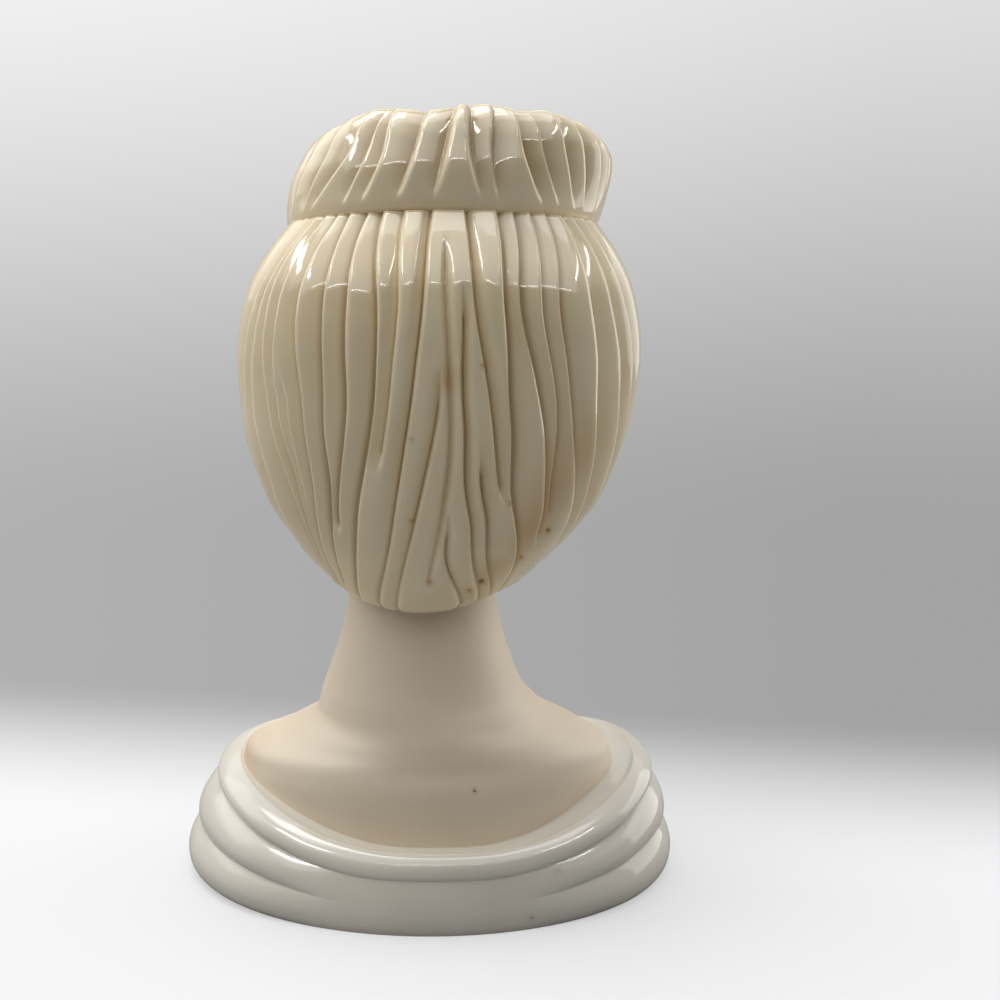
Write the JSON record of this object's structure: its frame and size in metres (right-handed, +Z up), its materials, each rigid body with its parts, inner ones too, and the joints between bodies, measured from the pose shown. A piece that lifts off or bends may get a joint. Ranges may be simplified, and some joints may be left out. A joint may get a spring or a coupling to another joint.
{
  "type": "head planter",
  "caption": "Hollow ceramic bust planter: swept-up ribbed hair with an open roll at the crown for the plant, bare neck and shoulders, and a folded shawl as the base.",
  "frame": {"origin": "middle of the foot, on the surface that the planter stands on", "axes": "+Z up; the face looks along -Y, so the pictured back looks along +Y; +X is the figure's left side"},
  "size_m": [0.1784, 0.1359, 0.26],
  "materials": {
    "hair_glaze": "glossy cream glaze, tan where it pools in the grooves",
    "skin": "satin warm beige glaze",
    "shawl_glaze": "glossy off-white glaze",
    "unglazed": "bare fired clay, wiped"
  },
  "bodies": {
    "root": {"neck_and_shoulders": "skin", "base_floor": "unglazed", "shawl": "shawl_glaze", "hair_shell": "hair_glaze", "face_shell": "skin", "hair_roll": "hair_glaze"}
  },
  "joints": []
}
